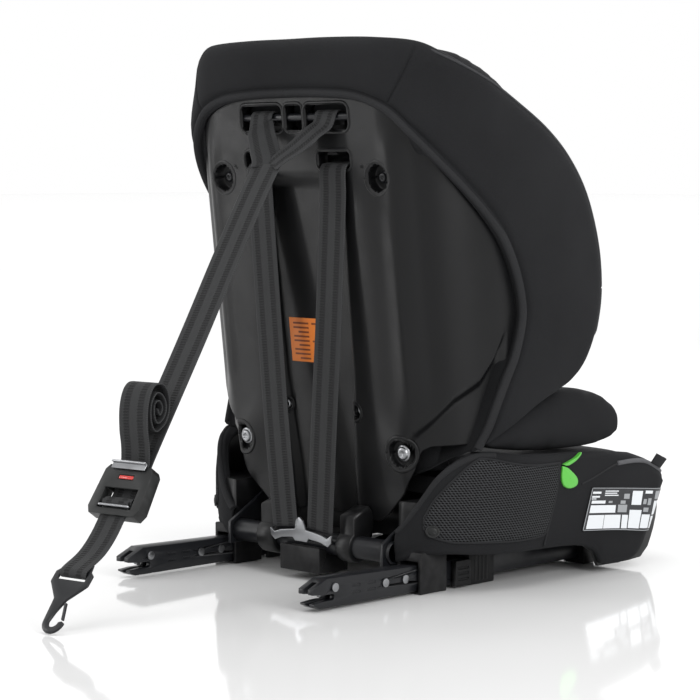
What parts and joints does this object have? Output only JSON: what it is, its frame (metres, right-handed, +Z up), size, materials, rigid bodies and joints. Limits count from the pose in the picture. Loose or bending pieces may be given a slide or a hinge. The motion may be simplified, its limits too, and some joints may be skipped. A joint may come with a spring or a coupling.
{
  "type": "convertible car seat",
  "caption": "Child car seat with a moulded back shell, padded wings, ISOFIX arms, harness and top tether.",
  "frame": {"origin": "centre of the bounding box of the seat without its tether, at the ground", "axes": "+Z up, the seated child faces -Y, the backrest leans towards +Y, +X is the child's left"},
  "size_m": [0.416, 0.7707, 0.5752],
  "materials": {
    "shell_plastic": "satin moulded black",
    "dark_plastic": "fine-grained black",
    "button_red": "glossy red",
    "green_plastic": "glossy green",
    "adjuster_plastic": "dark grey plastic-coated",
    "cover_fabric": "fine plain weave, black melange",
    "mesh_fabric": "3-D spacer mesh, black",
    "webbing": "ribbed polyester webbing",
    "black_steel": "black e-coat, semi-gloss",
    "zinc_steel": "bright zinc",
    "label_paper": "printed film",
    "label_orange": "printed film"
  },
  "bodies": {
    "base": {"base_shell": "shell_plastic", "base_cover": "cover_fabric", "seat_cushion": "cover_fabric", "mesh_panel_left": "mesh_fabric", "mesh_panel_right": "mesh_fabric", "cover_snaps": "dark_plastic", "belt_guide_left": "green_plastic", "belt_guide_right": "green_plastic", "side_label": "label_paper", "cross_tube": "black_steel", "tube_brackets": "black_steel", "isofix_guide_left": "dark_plastic", "isofix_guide_right": "dark_plastic", "guide_rail_left": "black_steel", "guide_rail_right": "black_steel", "strap_guide": "dark_plastic", "buckle_body": "dark_plastic", "buckle_tongues": "zinc_steel", "crotch_strap": "webbing", "crotch_pad": "cover_fabric", "adjuster_box": "dark_plastic", "adjuster_strap": "webbing"},
    "buckle_button": {"buckle_button": "button_red"},
    "adjuster_button": {"adjuster_button": "button_red"},
    "backrest": {"back_shell": "shell_plastic", "hood": "cover_fabric", "wing_left": "cover_fabric", "wing_right": "cover_fabric", "hip_pad_left": "cover_fabric", "hip_pad_right": "cover_fabric", "back_pad": "cover_fabric", "tether_bar": "black_steel", "shell_bolts": "zinc_steel", "shell_screws": "black_steel", "harness_strap_left": "webbing", "harness_strap_right": "webbing", "shoulder_pads": "cover_fabric", "yoke_plate": "zinc_steel", "back_label": "label_orange"},
    "headrest": {"headrest_shell": "dark_plastic", "headrest_pad": "cover_fabric"},
    "headrest_handle": {"headrest_handle": "dark_plastic"},
    "tether": {"tether_legs": "webbing", "tether_strap": "webbing", "tether_tail": "webbing", "tether_adjuster": "adjuster_plastic"},
    "adjuster_lever": {"adjuster_lever": "zinc_steel"},
    "hook": {"hook_strap": "webbing", "tether_hook": "black_steel"},
    "hook_gate": {"hook_gate": "black_steel"},
    "isofix_left": {"isofix_arm_left": "black_steel", "arm_rivets_left": "zinc_steel", "carriage_left": "dark_plastic"},
    "latch_hook_left": {"latch_hook_left": "zinc_steel"},
    "release_button_left": {"release_button_left": "dark_plastic"},
    "isofix_right": {"isofix_arm_right": "black_steel", "arm_rivets_right": "zinc_steel", "carriage_right": "dark_plastic"},
    "latch_hook_right": {"latch_hook_right": "zinc_steel"},
    "release_button_right": {"release_button_right": "dark_plastic"}
  },
  "joints": [
    {"name": "backrest_recline", "type": "hinge", "parent": "base", "child": "backrest", "pos_m": [0, 0.11, 0.04], "axis": [-1, 0, 0], "range_deg": [0, 6]},
    {"name": "headrest_height", "type": "slide", "parent": "backrest", "child": "headrest", "axis": [0, 0.1175, 0.9931], "range_m": [0, 0.14]},
    {"name": "headrest_handle_pull", "type": "slide", "parent": "headrest", "child": "headrest_handle", "axis": [0, 0.1175, 0.9931], "range_m": [0, 0.005], "stiffness_N_per_m": 600, "springref_m": -0.002},
    {"name": "tether_swing", "type": "hinge", "parent": "backrest", "child": "tether", "pos_m": [0, 0.13333, 0.49239], "axis": [1, 0, 0], "range_deg": [0, 40]},
    {"name": "adjuster_lever_lift", "type": "hinge", "parent": "tether", "child": "adjuster_lever", "pos_m": [-0.02451, 0.38998, 0.14439], "axis": [-0.9925, -0.1219, 0], "range_deg": [0, 25], "stiffness_Nm_per_rad": 0.3, "springref_deg": -5.73},
    {"name": "hook_swing", "type": "hinge", "parent": "tether", "child": "hook", "pos_m": [-0.02589, 0.40122, 0.11222], "axis": [0.9925, 0.1219, 0], "range_deg": [0, 50]},
    {"name": "hook_gate_spring", "type": "hinge", "parent": "hook", "child": "hook_gate", "pos_m": [-0.04622, 0.487, 0.02619], "axis": [0.0906, -0.7376, -0.6691], "range_deg": [0, 16], "stiffness_Nm_per_rad": 0.05, "springref_deg": -11.46},
    {"name": "buckle_press", "type": "slide", "parent": "base", "child": "buckle_button", "axis": [0, 0.9063, -0.4226], "range_m": [0, 0.004], "stiffness_N_per_m": 900, "springref_m": -0.001},
    {"name": "adjuster_press", "type": "slide", "parent": "base", "child": "adjuster_button", "axis": [0, 0, -1], "range_m": [0, 0.004], "stiffness_N_per_m": 900, "springref_m": -0.001},
    {"name": "isofix_extend_left", "type": "slide", "parent": "base", "child": "isofix_left", "axis": [0, -1, 0], "range_m": [0, 0.11]},
    {"name": "latch_hook_turn_left", "type": "hinge", "parent": "isofix_left", "child": "latch_hook_left", "pos_m": [0.14, 0.2288, 0.0225], "axis": [-1, 0, 0], "range_deg": [0, 30], "stiffness_Nm_per_rad": 0.05, "springref_deg": -11.46},
    {"name": "release_press_left", "type": "slide", "parent": "isofix_left", "child": "release_button_left", "axis": [-1, 0, 0], "range_m": [0, 0.0018], "stiffness_N_per_m": 900, "springref_m": -0.0005},
    {"name": "isofix_extend_right", "type": "slide", "parent": "base", "child": "isofix_right", "axis": [0, -1, 0], "range_m": [0, 0.11]},
    {"name": "latch_hook_turn_right", "type": "hinge", "parent": "isofix_right", "child": "latch_hook_right", "pos_m": [-0.14, 0.2288, 0.0225], "axis": [-1, 0, 0], "range_deg": [0, 30], "stiffness_Nm_per_rad": 0.05, "springref_deg": -11.46},
    {"name": "release_press_right", "type": "slide", "parent": "isofix_right", "child": "release_button_right", "axis": [1, 0, 0], "range_m": [0, 0.0018], "stiffness_N_per_m": 900, "springref_m": -0.0005}
  ]
}
